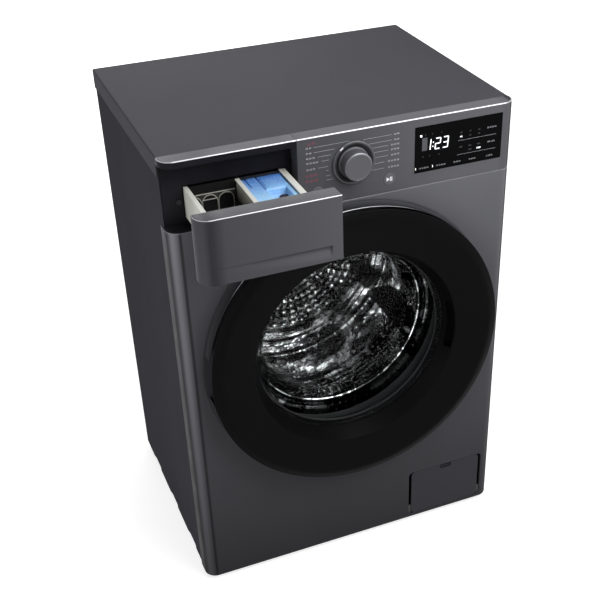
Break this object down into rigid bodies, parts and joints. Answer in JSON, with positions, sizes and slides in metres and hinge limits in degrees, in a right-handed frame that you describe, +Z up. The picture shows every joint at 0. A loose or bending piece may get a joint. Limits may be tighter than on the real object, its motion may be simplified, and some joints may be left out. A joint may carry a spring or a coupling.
{
  "type": "front load washing machine",
  "caption": "Front load washing machine with a round glass door, a detergent drawer, a dial and touch display, a sprung tub and a direct-drive drum.",
  "frame": {"origin": "on the floor under the middle of the cabinet's footprint, between the four feet", "axes": "+Z up, front with the door faces -Y, +X to the right seen from the front"},
  "size_m": [0.6, 0.657, 0.85],
  "materials": {
    "cabinet_paint": "satin dark grey powder coat",
    "front_paint": "smooth dark grey enamel",
    "top_paint": "satin dark grey laminate",
    "fascia": "dark grey moulded fascia",
    "door_black": "gloss black",
    "display_black": "gloss black window",
    "dial_dark": "gloss black with fine concentric lines",
    "glass": "clear tinted",
    "grey_plastic": "moulded",
    "light_plastic": "light grey moulded",
    "dark_plastic": "moulded",
    "blue_cap": "translucent blue",
    "tub_plastic": "glass-filled polypropylene",
    "gasket_rubber": "grey moulded rubber",
    "hose_rubber": "black rubber",
    "stainless": "brushed stainless steel",
    "galvanised": "galvanised sheet",
    "spider_alloy": "die cast",
    "weight_stone": "cast concrete",
    "bright_steel": "ground steel",
    "board_green": "circuit board",
    "foot_rubber": "black rubber sole on a steel stud"
  },
  "bodies": {
    "cabinet": {"base_pan": "dark_plastic", "side_panel_left": "cabinet_paint", "side_panel_right": "cabinet_paint", "rear_panel": "galvanised", "rear_cover": "galvanised", "front_panel": "front_paint", "top_plate": "top_paint", "cross_brace": "galvanised", "control_panel": "fascia", "display_window": "display_black", "display_board": "board_green", "dial_bezel": "dial_dark", "drawer_surround": "fascia", "dispenser_housing": "grey_plastic", "inlet_valve": "light_plastic", "fill_hose": "hose_rubber", "hinge_bracket": "galvanised", "door_lock": "dark_plastic", "pump_body": "grey_plastic", "sump_hose": "hose_rubber", "drain_hose": "hose_rubber", "drain_outlet": "grey_plastic", "mains_gland": "dark_plastic", "door_gasket": "gasket_rubber", "dispenser_bellows": "hose_rubber", "damper_cylinders": "grey_plastic", "lock_nuts": "bright_steel", "transit_caps": "dark_plastic", "panel_screws": "bright_steel"},
    "drawer": {"drawer_front": "fascia", "drawer_tray": "light_plastic"},
    "liquid_insert": {"liquid_insert": "dark_plastic"},
    "softener_cap": {"softener_cap": "blue_cap"},
    "door": {"door_ring": "door_black", "door_inner_frame": "dark_plastic", "door_glass": "glass", "door_hinge_arm": "bright_steel"},
    "latch": {"latch_hook": "bright_steel"},
    "dial": {"dial_knob": "dial_dark"},
    "start_button": {"start_button": "dial_dark"},
    "power_button": {"power_button": "dial_dark"},
    "drain_cover": {"drain_cover": "front_paint"},
    "filter_cap": {"filter_cap": "grey_plastic"},
    "pump_impeller": {"pump_impeller": "dark_plastic"},
    "tub": {"tub_front": "tub_plastic", "tub_rear": "tub_plastic", "counterweights": "weight_stone", "stator": "galvanised", "shaft_bearings": "bright_steel", "heater": "stainless", "tub_springs": "bright_steel", "damper_rods": "dark_plastic"},
    "drum": {"drum_shell": "stainless", "drum_lifters": "grey_plastic", "drum_spider": "spider_alloy", "rotor": "galvanised"},
    "foot_front_left": {"foot_front_left": "foot_rubber"},
    "foot_front_right": {"foot_front_right": "foot_rubber"},
    "foot_rear_left": {"foot_rear_left": "foot_rubber"},
    "foot_rear_right": {"foot_rear_right": "foot_rubber"}
  },
  "joints": [
    {"name": "drawer_slide", "type": "slide", "parent": "cabinet", "child": "drawer", "axis": [0, -1, 0], "range_m": [-0.182, 0]},
    {"name": "insert_lift", "type": "slide", "parent": "drawer", "child": "liquid_insert", "axis": [0, 0, 1], "range_m": [0, 0.04]},
    {"name": "cap_lift", "type": "slide", "parent": "drawer", "child": "softener_cap", "axis": [0, 0, 1], "range_m": [0, 0.03]},
    {"name": "door_hinge", "type": "hinge", "parent": "cabinet", "child": "door", "pos_m": [-0.238, -0.26, 0.462], "axis": [0, 0, -1], "range_deg": [0, 115]},
    {"name": "hook_pivot", "type": "hinge", "parent": "door", "child": "latch", "pos_m": [0.214, -0.239, 0.462], "axis": [0, 0, 1], "range_deg": [0, 12], "stiffness_Nm_per_rad": 0.3},
    {"name": "dial_turn", "type": "hinge", "parent": "cabinet", "child": "dial", "pos_m": [0.008, -0.23, 0.796], "axis": [0, -1, 0], "continuous": true},
    {"name": "start_press", "type": "slide", "parent": "cabinet", "child": "start_button", "axis": [0, 1, 0], "range_m": [0, 0.0012], "stiffness_N_per_m": 800},
    {"name": "power_press", "type": "slide", "parent": "cabinet", "child": "power_button", "axis": [0, 1, 0], "range_m": [0, 0.0012], "stiffness_N_per_m": 800},
    {"name": "drain_cover_hinge", "type": "hinge", "parent": "cabinet", "child": "drain_cover", "pos_m": [0.1975, -0.2274, 0.026], "axis": [1, 0, 0], "range_deg": [0, 90]},
    {"name": "filter_cap_turn", "type": "hinge", "parent": "cabinet", "child": "filter_cap", "pos_m": [0.1975, -0.216, 0.066], "axis": [0, -1, 0], "range_deg": [0, 270]},
    {"name": "pump_spin", "type": "hinge", "parent": "cabinet", "child": "pump_impeller", "pos_m": [0.1975, -0.11, 0.066], "axis": [0, 1, 0], "continuous": true},
    {"name": "tub_bounce", "type": "slide", "parent": "cabinet", "child": "tub", "axis": [0, 0, 1], "range_m": [-0.006, 0.006], "stiffness_N_per_m": 11000, "springref_m": 0.0205, "deforming": ["tub_springs", "dispenser_bellows", "sump_hose", "door_gasket"]},
    {"name": "drum_spin", "type": "hinge", "parent": "tub", "child": "drum", "pos_m": [0, 0.112, 0.462], "axis": [0, 1, 0], "continuous": true},
    {"name": "foot_front_left_turn", "type": "hinge", "parent": "cabinet", "child": "foot_front_left", "pos_m": [-0.262, -0.185, 0], "axis": [0, 0, 1], "continuous": true},
    {"name": "foot_front_right_turn", "type": "hinge", "parent": "cabinet", "child": "foot_front_right", "pos_m": [0.262, -0.185, 0], "axis": [0, 0, 1], "continuous": true},
    {"name": "foot_rear_left_turn", "type": "hinge", "parent": "cabinet", "child": "foot_rear_left", "pos_m": [-0.262, 0.185, 0], "axis": [0, 0, 1], "continuous": true},
    {"name": "foot_rear_right_turn", "type": "hinge", "parent": "cabinet", "child": "foot_rear_right", "pos_m": [0.262, 0.185, 0], "axis": [0, 0, 1], "continuous": true}
  ]
}
